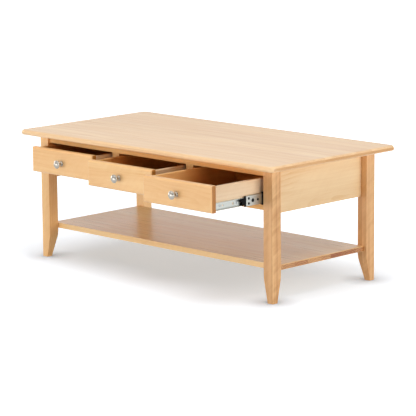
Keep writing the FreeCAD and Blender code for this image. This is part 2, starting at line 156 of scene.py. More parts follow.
def ring_contrast(default):
    return share("Rings", "Contrast of the growth rings", default)


def curl_contrast(default):
    return share("Curl", "Contrast of the soft bands that slant across the grain", default)


def lacquer_roughness(default):
    return share("Roughness", "Roughness of the lacquer", default)


def lacquer_coat(default):
    return share("Lacquer", "How much clear lacquer lies on the wood", default)


def wood_gloss(default):
    return share("Gloss", "How much the wood itself mirrors", default)


def figure_seed(default):
    return IntProperty(name="Seed", description="Picks another figure for the boards", default=default)


class TopWood(bpy.types.PropertyGroup):
    """Wood of the table top"""
    light: light_tone(248, 210, 160)
    dark: dark_tone(222, 172, 116)
    rosy: rosy_tone(240, 196, 146)
    end_grain: end_tone(204, 148, 86)
    stave_width: stave_width(0.075)
    ring_spacing: ring_spacing(0.008)
    figure: figure_contrast(0.8)
    rings: ring_contrast(0.5)
    curl: curl_contrast(0.4)
    roughness: lacquer_roughness(0.36)
    lacquer: lacquer_coat(0.3)
    gloss: wood_gloss(0.5)
    seed: figure_seed(0)


class FrontWood(bpy.types.PropertyGroup):
    """Wood of the drawer fronts and of the left legs"""
    light: light_tone(252, 208, 148)
    dark: dark_tone(228, 168, 100)
    rosy: rosy_tone(248, 196, 138)
    end_grain: end_tone(172, 108, 34)
    stave_width: stave_width(0.16)
    ring_spacing: ring_spacing(0.0075)
    figure: figure_contrast(0.7)
    rings: ring_contrast(0.5)
    curl: curl_contrast(0.5)
    roughness: lacquer_roughness(0.38)
    lacquer: lacquer_coat(0.1)
    gloss: wood_gloss(0.4)
    seed: figure_seed(0)


class LegWood(bpy.types.PropertyGroup):
    """Rosier wood of the right legs"""
    light: light_tone(232, 184, 126)
    dark: dark_tone(184, 122, 62)
    rosy: rosy_tone(226, 170, 114)
    end_grain: end_tone(176, 110, 50)
    stave_width: stave_width(0.06)
    ring_spacing: ring_spacing(0.014)
    figure: figure_contrast(1.1)
    rings: ring_contrast(0.4)
    curl: curl_contrast(1.1)
    roughness: lacquer_roughness(0.38)
    lacquer: lacquer_coat(0.1)
    gloss: wood_gloss(0.4)
    seed: figure_seed(1)


class PanelWood(bpy.types.PropertyGroup):
    """Wood of the side and back panels"""
    light: light_tone(243, 213, 167)
    dark: dark_tone(216, 170, 112)
    rosy: rosy_tone(240, 202, 152)
    end_grain: end_tone(204, 146, 86)
    stave_width: stave_width(0.3)
    ring_spacing: ring_spacing(0.016)
    figure: figure_contrast(0.8)
    rings: ring_contrast(1.0)
    curl: curl_contrast(0.3)
    roughness: lacquer_roughness(0.4)
    lacquer: lacquer_coat(0.1)
    gloss: wood_gloss(0.4)
    seed: figure_seed(0)


class LiftedShelfWood(bpy.types.PropertyGroup):
    """Wood of the shelf, its tones raised above the wood's own to lift the shade on its top under the case:
    partly painted light
    """
    light: light_tone(255, 216, 156)
    dark: dark_tone(240, 188, 122)
    rosy: rosy_tone(252, 206, 140)
    end_grain: end_tone(150, 78, 16)
    stave_width: stave_width(0.06)
    ring_spacing: ring_spacing(0.0075)
    figure: figure_contrast(0.9)
    rings: ring_contrast(0.5)
    curl: curl_contrast(0.4)
    roughness: lacquer_roughness(0.32)
    lacquer: lacquer_coat(0.3)
    gloss: wood_gloss(0.4)
    seed: figure_seed(0)


class DrawerWood(bpy.types.PropertyGroup):
    """Pale wood of the drawers' right sides"""
    light: light_tone(240, 214, 180)
    dark: dark_tone(218, 180, 136)
    rosy: rosy_tone(236, 202, 166)
    end_grain: end_tone(206, 154, 96)
    stave_width: stave_width(0.12)
    ring_spacing: ring_spacing(0.008)
    figure: figure_contrast(0.7)
    rings: ring_contrast(0.5)
    curl: curl_contrast(0.5)
    roughness: lacquer_roughness(0.46)
    lacquer: lacquer_coat(0.0)
    gloss: wood_gloss(0.2)
    seed: figure_seed(0)


class ShadedInnerWood(bpy.types.PropertyGroup):
    """Golden wood of the front frame, of the inside of the case and of the other drawer boards, darker and
    more saturated than the pale drawer sides: partly the wood's own tone, partly painted shade for these
    shaded places
    """
    light: light_tone(240, 194, 128)
    dark: dark_tone(208, 148, 80)
    rosy: rosy_tone(232, 178, 116)
    end_grain: end_tone(190, 128, 66)
    stave_width: stave_width(0.12)
    ring_spacing: ring_spacing(0.008)
    figure: figure_contrast(0.7)
    rings: ring_contrast(0.5)
    curl: curl_contrast(0.5)
    roughness: lacquer_roughness(0.5)
    lacquer: lacquer_coat(0.0)
    gloss: wood_gloss(0.2)
    seed: figure_seed(0)


class MetalSettings(bpy.types.PropertyGroup):
    """Runners, screws, balls, knobs and plastic"""
    zinc: colour("Zinc", "Plated sheet of the runners", shown(178, 180, 174))
    screw: colour("Screw steel", "Plated screws", shown(164, 166, 170))
    ball: colour("Ball steel", "Polished balls", shown(206, 206, 208))
    nickel: colour("Nickel", "Satin nickel of the knobs", shown(170, 165, 156))
    plastic: colour("Plastic", "Black moulded plastic", shown(10, 10, 11))
    zinc_roughness: share("Zinc roughness", "Roughness of the plated sheet", 0.32)
    screw_roughness: share("Screw roughness", "Roughness of the screws", 0.34)
    ball_roughness: share("Ball roughness", "Roughness of the balls", 0.12)
    nickel_roughness: share("Nickel roughness", "Roughness of the knobs", 0.34)
    recess_length: length("Recess length", "Length of the cross in a screw head", 0.0042)
    recess_width: length("Recess width", "Width of the cross in a screw head", 0.0009)
    recess_depth: length("Recess depth", "Depth of the cross in a screw head", 0.0009)
    plastic_ease: length("Plastic ease", "Rounding of the plastic's edges", 0.0004)
    ball_pitch: length("Ball pitch", "From one ball of a row to the next", 0.021)
    cage_balls: IntProperty(name="Cage balls", description="Balls in each row of a cage", default=7)
    cage_start: length("Cage start", "From the front end of a middle runner to its first inner ball", 0.016)
    cage_overhang: length("Cage overhang", "How far a cage goes on past its last balls", 0.01)
    cage_reach: length("Cage reach", "From the outer face of a middle runner to the cage", 0.0017)
    cage_height: length("Cage height", "Height of a cage between its folded edges", 0.0266)
    cage_depth: length("Cage depth", "How far a cage's folded edges reach", 0.0047)
    cage_wall: length("Cage wall", "Thickness of a cage", 0.0008)
    pocket_length: length("Pocket length", "Length of the pocket round a ball", 0.0038)
    pocket_floor: length("Pocket floor", "How far the edges reach at a pocket", 0.0012)


class KnobSettings(bpy.types.PropertyGroup):
    """Shape of the knobs"""
    head: length("Head", "Diameter of the head", 0.028)
    base: length("Base", "Diameter of the base", 0.016)
    neck: length("Neck", "Diameter of the neck", 0.009)
    base_depth: length("Base depth", "Thickness of the base", 0.002)
    head_depth: length("Head depth", "From the back of the head to its crown", 0.01)
    rim_depth: length("Rim depth", "Thickness of the rim round the head", 0.003)
    ease: length("Ease", "Rounding of the edges", 0.0005)
    bore: length("Bore", "Diameter of the screw's bore", 0.0044)
    bore_depth: length("Bore depth", "Depth of the screw's bore", 0.0122)


class StageSettings(bpy.types.PropertyGroup):
    """Camera, lamps and floor"""
    azimuth: turn("Azimuth", "Turn of the view to the right", 44.91)
    elevation: turn("Elevation", "Height of the view above the floor", 10.68)
    roll: turn("Roll", "Tilt of the picture", -0.52)
    distance: length("Distance", "From the camera to the point looked at", 7.39226)
    look_height: length("Look height", "Height of the point looked at", 0.2)
    slide_right: length("Slide right", "How far the view lies right of that point", 0.01565)
    slide_up: length("Slide up", "How far the view lies above that point", 0.00566)
    lens: FloatProperty(name="Lens", description="Focal length", unit="CAMERA", default=188.45)
    floor: colour("Floor", "Plain pale floor", shown(210, 218, 228))
    floor_size: length("Floor size", "Edge of the floor", 60.0)
    # The floor's glow is lower in an oval under the table: a painted shadow.
    near_glow: share("Near glow", "White that the floor under the table shows besides its light", 0.375)
    foot_glow: share("Foot glow", "The same round the feet, where their shadows lie", 0.74)
    # Ambient occlusion darkens the floor's glow round each foot: a painted contact shadow.
    contact_shade_reach: length("Contact reach", "How far the dark round each foot reaches", 0.09)
    contact_shade_depth: share("Contact depth", "How dark the floor is against each foot", 3.0)
    shade_width: length("Shade width", "Half the width of the shaded floor", 0.62)
    shade_left: length("Shade left", "How far left the shaded floor lies", 0.1)
    shade_depth: length("Shade depth", "Half the depth of the shaded floor", 0.34)
    sky: share("Sky", "Light from all round", 0.17)
    dim: share("Dim", "How much darker the room behind the camera is", 0.7)
    key: power("Key", "Power of the lamp above", 64.0)
    key_size: lamp_size("Key size", 3.2, 2.0)
    key_place: lamp_place("Key place", 0.3, -0.8, 3.2)
    fill: power("Fill", "Power of the lamp in front", 300.0)
    fill_size: lamp_size("Fill size", 8.4, 0.7)
    fill_place: lamp_place("Fill place", -0.4, -7.6, 0.4)
    side: power("Side", "Power of the lamp at the right", 318.0)
    side_size: lamp_size("Side size", 5.0, 1.6)
    side_place: lamp_place("Side place", 7.6, 1.2, 0.9)
    back: power("Back", "Power of the lamp behind", 170.0)
    back_size: lamp_size("Back size", 5.0, 1.4)
    back_place: lamp_place("Back place", -1.0, 7.4, 1.7)
    left: power("Left", "Power of the lamp at the left", 150.0)
    left_size: lamp_size("Left size", 4.0, 1.2)
    left_place: lamp_place("Left place", -7.4, -0.4, 1.2)


def put(tree, socket, value):
    """Links a socket to another, or sets its value."""
    if isinstance(value, bpy.types.NodeSocket):
        tree.links.new(value, socket)
    else:
        socket.default_value = value


def add(tree, kind, values=None, **settings):
    """Adds a node, with settings as attributes and values for its inputs."""
    node = tree.nodes.new(kind)
    for name, value in settings.items():
        setattr(node, name, value)
    for name, value in (values or {}).items():
        put(tree, node.inputs[name], value)
    return node


def calc(tree, operation, *values, clamp=False):
    """One sum on numbers or sockets."""
    numbered = dict(enumerate(values))
    return add(tree, "ShaderNodeMath", numbered, operation=operation, use_clamp=clamp).outputs[0]


def join(tree, x, y, z):
    return add(tree, "ShaderNodeCombineXYZ", {0: x, 1: y, 2: z}).outputs[0]


def scaled(tree, vector, factors):
    return add(tree, "ShaderNodeVectorMath", {0: vector, 1: factors}, operation="MULTIPLY").outputs[0]


def noise(tree, vector, detail, roughness=0.5):
    values = {"Vector": vector, "Scale": 1.0, "Detail": detail, "Roughness": roughness}
    return add(tree, "ShaderNodeTexNoise", values).outputs[0]


def centred(tree, value):
    return calc(tree, "SUBTRACT", value, 0.5)


def blend(tree, amount, first, second):
    """A mix of two colours, whose inputs are sockets 6 and 7 of the node and whose output is socket 2."""
    return add(tree, "ShaderNodeMix", {0: amount, 6: first, 7: second}, data_type="RGBA").outputs[2]


def ramp(tree, value, low, high, new_low=0.0, new_high=1.0):
    """A smooth step from one range to another."""
    values = {"Value": value, "From Min": low, "From Max": high, "To Min": new_low, "To Max": new_high}
    return add(tree, "ShaderNodeMapRange", values, interpolation_type="SMOOTHSTEP").outputs[0]


def opaque(rgb):
    return (*rgb, 1.0)


def new_group(name, kind, inputs, outputs):
    """An empty node group with named sockets, and its two ends."""
    tree = bpy.data.node_groups.new(name, kind)
    for socket, socket_kind in inputs.items():
        tree.interface.new_socket(name=socket, in_out="INPUT", socket_type="NodeSocket" + socket_kind)
    for socket, socket_kind in outputs.items():
        tree.interface.new_socket(name=socket, in_out="OUTPUT", socket_type="NodeSocket" + socket_kind)
    return tree, tree.nodes.new("NodeGroupInput").outputs, tree.nodes.new("NodeGroupOutput").inputs


def lay_staves(tree, given):
    """Glued staves of uneven width, with the places and chances that the figure reads."""
    unevenness, jump, glue_half = 0.6, 40.0, 0.0006
    width, seed = given["Stave Width"], given["Seed"]
    place = add(tree, "ShaderNodeSeparateXYZ", {0: given["Vector"]}).outputs
    stave_place = calc(tree, "ADD", calc(tree, "DIVIDE", place["Y"], width), seed)
    values = {"W": stave_place, "Scale": 1.0, "Randomness": unevenness}
    cell = add(tree, "ShaderNodeTexVoronoi", values, voronoi_dimensions="1D").outputs
    border = add(
        tree, "ShaderNodeTexVoronoi", values, voronoi_dimensions="1D", feature="DISTANCE_TO_EDGE"
    ).outputs["Distance"]
    chance = add(tree, "ShaderNodeSeparateColor", {0: cell["Color"]}).outputs
    return SimpleNamespace(
        grain=place["X"],
        across=place["Y"],
        depth=place["Z"],
        seed=seed,
        chance=chance,
        own_across=calc(tree, "MULTIPLY", calc(tree, "SUBTRACT", stave_place, cell["W"]), width),
        jump=calc(tree, "MULTIPLY", chance[0], jump),
        glue=calc(tree, "LESS_THAN", border, calc(tree, "DIVIDE", glue_half, width)),
    )


def stretched(tree, stave, along, sideways):
    """A place drawn out along the grain, which starts anew in each stave."""
    return join(
        tree,
        calc(tree, "MULTIPLY", stave.grain, along),
        calc(tree, "MULTIPLY_ADD", stave.across, sideways, stave.jump),
        calc(tree, "MULTIPLY_ADD", stave.depth, sideways, stave.seed),
    )


def growth_rings(tree, given, stave, streak):
    """Rings about a heart that wanders along each stave, each one darkest at its outer edge."""
    wander_rate, wander_across, wander_share = 1.7, 0.03, 0.7
    heart_nearest, heart_spread = 0.016, 0.05
    waviness, sharpness = 0.8, 2.2
    slow = join(tree, calc(tree, "MULTIPLY", stave.grain, wander_rate), stave.jump, stave.seed)
    wander = centred(tree, noise(tree, slow, detail=2.0))
    wander_depth = calc(tree, "MULTIPLY", given["Stave Width"], wander_share)
    heart = calc(tree, "MULTIPLY_ADD", stave.chance[1], heart_spread, heart_nearest)
    heart = calc(tree, "MULTIPLY_ADD", wander, wander_depth, heart)
    sideways = calc(tree, "MULTIPLY_ADD", wander, wander_across, stave.own_across)
    place = join(tree, 0.0, sideways, calc(tree, "ADD", stave.depth, heart))
    radius = add(tree, "ShaderNodeVectorMath", {0: place}, operation="LENGTH").outputs["Value"]
    turns = calc(tree, "DIVIDE", radius, given["Ring Spacing"])
    turns = calc(tree, "MULTIPLY_ADD", streak, waviness, turns)
    return calc(tree, "POWER", calc(tree, "FRACT", turns), sharpness)


def slanting_bands(tree, stave):
    """Soft bands that slant across the grain."""
    lean_across, lean_depth, rate, drift = -0.9, -0.6, 65.0, 14.0
    slant = calc(tree, "MULTIPLY_ADD", stave.across, lean_across, stave.grain)
    slant = calc(tree, "MULTIPLY_ADD", stave.depth, lean_depth, slant)
    along = calc(tree, "MULTIPLY", slant, rate)
    across = calc(tree, "MULTIPLY_ADD", stave.across, drift, stave.jump)
    depth = calc(tree, "MULTIPLY_ADD", stave.depth, drift, stave.seed)
    return noise(tree, join(tree, along, across, depth), detail=2.0)


def face_colour(tree, given, stave, ring, streak):
    """Colour along the grain: rings, streaks, clouds and bands, then pinker staves, glue and flecks."""
    ring_start, figure_start = -0.1, 0.4
    streak_weight, cloud_weight, stave_weight = 1.3, 2.0, 0.45
    cloud_along, clouds_in_stave = 1.3, 3.0
    blush_cloud, blush_stave, blush_most = 0.5, 0.8, 0.55
    glue_darkness, fleck_darkness = 0.3, 0.35
    cloud_across = calc(tree, "DIVIDE", clouds_in_stave, given["Stave Width"])
    cloud = noise(tree, stretched(tree, stave, cloud_along, cloud_across), detail=3.0)
    fade = noise(tree, stretched(tree, stave, *FADE_RATES), detail=1.0)
    fade = ramp(tree, fade, low=0.35, high=0.65)
    amount = calc(tree, "MULTIPLY_ADD", calc(tree, "MULTIPLY", ring, fade), given["Rings"], ring_start)
    parts = (
        (streak, streak_weight), (cloud, cloud_weight),
        (slanting_bands(tree, stave), given["Curl"]), (stave.chance[2], stave_weight),
    )
    for part, weight in parts:
        amount = calc(tree, "MULTIPLY_ADD", centred(tree, part), weight, amount)
    amount = calc(tree, "MULTIPLY_ADD", amount, given["Figure"], figure_start, clamp=True)
    face = blend(tree, amount, given["Light"], given["Dark"])
    blush = calc(tree, "MULTIPLY", stave.chance[1], blush_stave)
    blush = calc(tree, "MULTIPLY_ADD", cloud, blush_cloud, blush)
    blush = ramp(tree, blush, low=0.3, high=0.95, new_high=blush_most)
    face = blend(tree, blush, face, given["Rosy"])
    fleck = noise(tree, stretched(tree, stave, *FLECK_RATES), detail=1.0)
    fleck = ramp(tree, fleck, low=0.66, high=0.74)
    for mark, darkness in ((stave.glue, glue_darkness), (fleck, fleck_darkness)):
        face = blend(tree, calc(tree, "MULTIPLY", mark, darkness), face, given["Dark"])
    return face


def end_colour(tree, given, stave, ring):
    """Colour where the fibres are cut across: its own tone in each stave, rings and speckles."""
    stave_weight, ring_weight, speckle_weight, start = 0.65, 0.4, 0.5, -0.3
    speckle_rates = (900.0, 900.0, 900.0)
    speckle = centred(tree, noise(tree, scaled(tree, given["Vector"], speckle_rates), detail=2.0))
    amount = calc(tree, "MULTIPLY_ADD", ring, ring_weight, start)
    amount = calc(tree, "MULTIPLY_ADD", stave.chance[0], stave_weight, amount)
    amount = calc(tree, "MULTIPLY_ADD", speckle, speckle_weight, amount, clamp=True)
    return blend(tree, amount, given["End Grain"], given["Dark"])


def build_figure():
    """The figure of a glued board: staves, growth rings about each stave's heart, streaks and pores."""
    inputs = {
        "Vector": "Vector", "Seed": "Float", "Stave Width": "Float", "Ring Spacing": "Float",
        "Figure": "Float", "Rings": "Float", "Curl": "Float", "Light": "Color", "Dark": "Color",
        "Rosy": "Color", "End Grain": "Color", "End": "Float",
    }
    outputs = {"Color": "Color", "Streak": "Float", "Height": "Float"}
    streak_height = 0.5
    tree, given, made = new_group("Board figure", "ShaderNodeTree", inputs, outputs)
    stave = lay_staves(tree, given)
    streak = noise(tree, stretched(tree, stave, *STREAK_RATES), detail=5.0, roughness=0.6)
    ring = growth_rings(tree, given, stave, streak)
    face = face_colour(tree, given, stave, ring, streak)
    end_face = end_colour(tree, given, stave, ring)
    pores = noise(tree, stretched(tree, stave, *PORE_RATES), detail=1.0)
    pores = ramp(tree, pores, low=0.3, high=0.45)
    put(tree, made["Color"], blend(tree, given["End"], face, end_face))
    put(tree, made["Streak"], streak)
    put(tree, made["Height"], calc(tree, "MULTIPLY_ADD", streak, streak_height, pores))
    return tree


def new_material(name):
    """A new material with its tree and its one shader."""
    material = bpy.data.materials.new(name)
    material.use_nodes = True
    tree = material.node_tree
    tree.nodes.clear()
    shader = tree.nodes.new("ShaderNodeBsdfPrincipled")
    add(tree, "ShaderNodeOutputMaterial", {"Surface": shader.outputs[0]})
    return material, tree, shader


def roughen(tree, shader, height, strength, distance):
    """Gives a shader the relief of a height."""
    values = {"Height": height, "Strength": strength, "Distance": distance}
    put(tree, shader.inputs["Normal"], add(tree, "ShaderNodeBump", values).outputs[0])


def wood_material(name, wood, heart, grain, across, seed):
    """Wood with its own figure, laid round a point of the board."""
    smoother, rougher, coat_roughness = 0.06, 0.1, 0.22
    relief, relief_depth = 0.12, 0.0004
    material, tree, shader = new_material(name)
    figure_tree = bpy.data.node_groups.get("Board figure") or build_figure()
    coordinates = tree.nodes.new("ShaderNodeTexCoord").outputs
    laid_turn = Matrix((grain, across, grain.cross(across))).transposed().to_euler()
    laid_values = {"Vector": coordinates["Object"], "Location": heart, "Rotation": laid_turn}
    laid = add(tree, "ShaderNodeMapping", laid_values, vector_type="TEXTURE").outputs[0]
    facing = add(tree, "ShaderNodeVectorMath", {0: coordinates["Normal"], 1: grain}, operation="DOT_PRODUCT")
    end = ramp(tree, calc(tree, "ABSOLUTE", facing.outputs["Value"]), low=0.85, high=0.99)
    figure_values = {
        "Vector": laid, "End": end, "Seed": seed, "Stave Width": wood.stave_width,
        "Ring Spacing": wood.ring_spacing, "Figure": wood.figure, "Rings": wood.rings, "Curl": wood.curl,
        "Light": opaque(wood.light), "Dark": opaque(wood.dark), "Rosy": opaque(wood.rosy),
        "End Grain": opaque(wood.end_grain),
    }
    figure = add(tree, "ShaderNodeGroup", figure_values, node_tree=figure_tree).outputs
    put(tree, shader.inputs["Base Color"], figure["Color"])
    ends = {"new_low": wood.roughness - smoother, "new_high": wood.roughness + rougher}
    put(tree, shader.inputs["Roughness"], ramp(tree, figure["Streak"], low=0.3, high=0.7, **ends))
    roughen(tree, shader, figure["Height"], relief, relief_depth)
    shader.inputs["Specular IOR Level"].default_value = wood.gloss
    shader.inputs["Coat Weight"].default_value = wood.lacquer
    shader.inputs["Coat Roughness"].default_value = coat_roughness
    return material


def metal_material(name, tone, roughness, rates):
    """Metal with fine lines or clouds, as its marks change more or less often."""
    shade, smoother, rougher = 0.86, 0.04, 0.06
    relief, relief_depth = 0.04, 0.0001
    material, tree, shader = new_material(name)
    place = tree.nodes.new("ShaderNodeTexCoord").outputs["Object"]
    value = noise(tree, scaled(tree, place, rates), detail=3.0, roughness=0.6)
    darker = [channel * shade for channel in tone]
    put(tree, shader.inputs["Base Color"], blend(tree, value, opaque(darker), opaque(tone)))
    ends = {"new_low": roughness - smoother, "new_high": roughness + rougher}
    put(tree, shader.inputs["Roughness"], ramp(tree, value, low=0.25, high=0.75, **ends))
    roughen(tree, shader, value, relief, relief_depth)
    shader.inputs["Metallic"].default_value = 1.0
    return material


def plastic_material(name, tone):
    """Moulded plastic with a fine grain."""
    lightest, gloss = 2.2, 0.06
    ends = {"new_low": 0.55, "new_high": 0.7}
    relief, relief_depth = 0.15, 0.0001
    material, tree, shader = new_material(name)
    place = tree.nodes.new("ShaderNodeTexCoord").outputs["Object"]
    value = noise(tree, scaled(tree, place, MOULDED_RATES), detail=2.0)
    lighter = [channel * lightest for channel in tone]
    put(tree, shader.inputs["Base Color"], blend(tree, value, opaque(tone), opaque(lighter)))
    put(tree, shader.inputs["Roughness"], ramp(tree, value, low=0.3, high=0.7, **ends))
    roughen(tree, shader, value, relief, relief_depth)
    shader.inputs["Specular IOR Level"].default_value = gloss
    return material


def paint(node, material):
    """Gives a node of the frame its finish."""
    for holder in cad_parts[node].material_slots:
        holder.material = material


def paint_board(node, wood, grain, across):
    """Gives a board wood of its own."""
    seed_step = 1.37
    low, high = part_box(node)
    seed = wood.seed + seed_step * sorted(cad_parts).index(node)
    paint(node, wood_material(f"{node}_wood", wood, (low + high) / 2, grain, across, seed))


def add_piece(name, mesh, material, body, node=None):
    """Puts a finished mesh in the scene, on its body and in the place of its node if it has one."""
    mesh.name = name
    mesh.materials.clear()
    mesh.materials.append(material)
    piece = bpy.data.objects.new(name, mesh)
    bpy.context.scene.collection.objects.link(piece)
    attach(piece, body)
    if node:
        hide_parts(node)


def merged_mesh(node):
    """A copy of a node's mesh with its loose triangles joined."""
    mesh = bmesh.new()
    mesh.from_mesh(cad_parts[node].data)
    bmesh.ops.remove_doubles(mesh, verts=mesh.verts, dist=MERGE_DISTANCE)
    return mesh


def islands(node):
    """The corner points of each separate solid of a node."""
    mesh = merged_mesh(node)
    seen = set()
    found = []
    for start in mesh.verts:
        if start in seen:
            continue
        seen.add(start)
        group = [start]
        for vertex in group:
            for edge in vertex.link_edges:
                other = edge.other_vert(vertex)
                if other not in seen:
                    seen.add(other)
                    group.append(other)
        found.append([vertex.co.copy() for vertex in group])
    mesh.free()
    return found


def middle_of(points):
    low = Vector([min(point[axis] for point in points) for axis in range(3)])
    high = Vector([max(point[axis] for point in points) for axis in range(3)])
    return (low + high) / 2


def soften(mesh, angle):
    """Shades a mesh smooth but for the edges sharper than an angle."""
    mesh.shade_smooth()
    mesh.set_sharp_from_angle(angle=math.radians(angle))


def evaluated_mesh(holder):
    """The plain mesh that an object's modifiers make. The object goes."""
    bpy.context.scene.collection.objects.link(holder)
    graph = bpy.context.evaluated_depsgraph_get()
    mesh = bpy.data.meshes.new_from_object(holder.evaluated_get(graph))
    holder.modifiers.clear()
    bpy.data.objects.remove(holder)
    return mesh


def grow(name, tree, values, points, facings):
    """Runs a tree of Geometry Nodes on points that each face somewhere, and gives the plain mesh."""
    places = bpy.data.meshes.new(f"{name}_places")
    places.from_pydata(points, [], [])
    attribute = places.attributes.new("facing", "FLOAT_VECTOR", "POINT")
    attribute.data.foreach_set("vector", [value for facing in facings for value in facing])
    holder = bpy.data.objects.new(f"{name}_places", places)
    modifier = holder.modifiers.new("Grow", "NODES")
    modifier.node_group = tree
    for socket, value in values.items():
        modifier[tree.interface.items_tree[socket].identifier] = value
    mesh = evaluated_mesh(holder)
    soften(mesh, SHARP_EDGE)
    return mesh


def moved(tree, geometry, place, spin=(0.0, 0.0, 0.0)):
    values = {"Geometry": geometry, "Translation": place, "Rotation": spin}
    return add(tree, "GeometryNodeTransform", values).outputs[0]


def raised(tree, geometry, height, spin=(0.0, 0.0, 0.0)):
    return moved(tree, geometry, join(tree, 0.0, 0.0, height), spin)


def stand_on_points(tree, given, made, shape):
    """Sets a shape on every point along its facing, and ends the tree in plain painted mesh."""
    facing = add(tree, "GeometryNodeInputNamedAttribute", {"Name": "facing"}, data_type="FLOAT_VECTOR")
    aligned_values = {"Vector": facing.outputs["Attribute"]}
    aligned = add(tree, "FunctionNodeAlignRotationToVector", aligned_values, axis="Z").outputs[0]
    placed_values = {"Points": given["Geometry"], "Instance": shape, "Rotation": aligned}
    placed = add(tree, "GeometryNodeInstanceOnPoints", placed_values).outputs[0]
    solid = add(tree, "GeometryNodeRealizeInstances", {"Geometry": placed}).outputs[0]
    painted = add(tree, "GeometryNodeSetMaterial", {"Geometry": solid, "Material": given["Material"]})
    put(tree, made["Geometry"], painted.outputs[0])
    return tree


def screw_head(tree, given):
    """A domed head with a cross cut into its crown."""
    steps = 24
    height = given["Head Height"]
    head_radius = calc(tree, "DIVIDE", given["Head Diameter"], 2.0)
    squares = calc(tree, "ADD", calc(tree, "POWER", head_radius, 2.0), calc(tree, "POWER", height, 2.0))
    ball_radius = calc(tree, "DIVIDE", squares, calc(tree, "MULTIPLY", height, 2.0))
    ball_values = {"Segments": steps, "Rings": steps, "Radius": ball_radius}
    ball = add(tree, "GeometryNodeMeshUVSphere", ball_values).outputs[0]
    slab_values = {"Vertices": steps, "Radius": given["Head Diameter"], "Depth": height}
    slab = add(tree, "GeometryNodeMeshCylinder", slab_values).outputs[0]
    dome = add(tree, "GeometryNodeMeshBoolean", operation="INTERSECT", solver="EXACT")
    put(tree, dome.inputs["Mesh 2"], raised(tree, ball, calc(tree, "SUBTRACT", height, ball_radius)))
    put(tree, dome.inputs["Mesh 2"], raised(tree, slab, calc(tree, "DIVIDE", height, 2.0)))
    bar_depth = calc(tree, "MULTIPLY", given["Recess Depth"], 2.0)
    bar_size = join(tree, given["Recess Length"], given["Recess Width"], bar_depth)
    bar = add(tree, "GeometryNodeMeshCube", {"Size": bar_size}).outputs[0]
    crossed = add(tree, "GeometryNodeMeshBoolean", operation="DIFFERENCE", solver="EXACT")
    put(tree, crossed.inputs["Mesh 1"], dome.outputs[0])
    for spin in (0.0, math.pi / 2):
        put(tree, crossed.inputs["Mesh 2"], raised(tree, bar, height, (0.0, 0.0, spin)))
    return crossed.outputs[0]


def screw_shank(tree, given):
    """A round shank with a pointed tip, below the head's seat."""
    steps = 16
    radius = calc(tree, "DIVIDE", given["Shank Diameter"], 2.0)
    tip_length = given["Shank Diameter"]
    body_length = calc(tree, "SUBTRACT", given["Shank Length"], tip_length)
    body_values = {"Vertices": steps, "Radius": radius, "Depth": body_length}
    body = add(tree, "GeometryNodeMeshCylinder", body_values).outputs[0]
    tip_values = {"Vertices": steps, "Radius Top": 0.0, "Radius Bottom": radius, "Depth": tip_length}
    tip = add(tree, "GeometryNodeMeshCone", tip_values).outputs[0]
    down = calc(tree, "MULTIPLY", body_length, -1.0)
    return raised(tree, body, calc(tree, "DIVIDE", down, 2.0)), raised(tree, tip, down, (math.pi, 0.0, 0.0))


def build_screw_tree():
    """A cross-headed screw on each point, its head along the point's facing."""
    sizes = ("Head Diameter", "Head Height", "Shank Diameter", "Shank Length")
    recess = ("Recess Length", "Recess Width", "Recess Depth")
    inputs = {"Geometry": "Geometry", "Material": "Material"} | dict.fromkeys(sizes + recess, "Float")
    tree, given, made = new_group("Screws", "GeometryNodeTree", inputs, {"Geometry": "Geometry"})
    whole = tree.nodes.new("GeometryNodeJoinGeometry")
    for shape in (screw_head(tree, given), *screw_shank(tree, given)):
        put(tree, whole.inputs[0], shape)
    return stand_on_points(tree, given, made, whole.outputs[0])


def build_ball_tree():
    """A small ball on each point."""
    inputs = {"Geometry": "Geometry", "Material": "Material", "Diameter": "Float"}
    tree, given, made = new_group("Balls", "GeometryNodeTree", inputs, {"Geometry": "Geometry"})
    radius = calc(tree, "DIVIDE", given["Diameter"], 2.0)
    ball = add(tree, "GeometryNodeMeshUVSphere", {"Segments": 10, "Rings": 6, "Radius": radius}).outputs[0]
    return stand_on_points(tree, given, made, ball)


def screw_place(points, axis):
    """The seat of a screw's head, the way the head faces, and the screw's sizes."""
    clear_of_seat = 0.01
    middle = middle_of(points)
    middle -= middle.dot(axis) * axis
    reaches = [(point.dot(axis), (point - middle - point.dot(axis) * axis).length) for point in points]
    widest = max(wide for along, wide in reaches)
    seat = next(along for along, wide in reaches if wide == widest)
    crown, tip = sorted((min(reaches)[0], max(reaches)[0]), key=lambda end: abs(end - seat))
    start = clear_of_seat * (tip - seat) ** 2
    shank = [wide for along, wide in reaches if (along - seat) * (tip - seat) > start]
    sizes = {
        "Head Diameter": 2 * widest, "Head Height": abs(crown - seat),
        "Shank Diameter": 2 * max(shank), "Shank Length": abs(tip - seat),
    }
    return middle + seat * axis, axis if crown > tip else -axis, sizes


def add_screws(node, axis, body, metal, tree, steel):
    """Stands cross-headed screws in the places of a node's plain ones."""
    places = [screw_place(points, axis) for points in islands(node)]
    seats, facings, sizes = zip(*places)
    values = sizes[0] | {
        "Recess Length": metal.recess_length, "Recess Width": metal.recess_width,
        "Recess Depth": metal.recess_depth, "Material": steel,
    }
    name = f"{node}_crossed"
    add_piece(name, grow(name, tree, values, seats, facings), steel, body, node)


def add_balls(bay, tree, steel):
    """Stands polished balls in the places of a bay's runner balls."""
    node = f"{bay}_runner_balls"
    balls = islands(node)
    heights = [point.z for point in balls[0]]
    values = {"Diameter": max(heights) - min(heights), "Material": steel}
    points = [middle_of(ball) for ball in balls]
    name = f"{node}_polished"
    mesh = grow(name, tree, values, points, [ALONG_Z] * len(points))
    add_piece(name, mesh, steel, f"{bay}_runner_set", node)


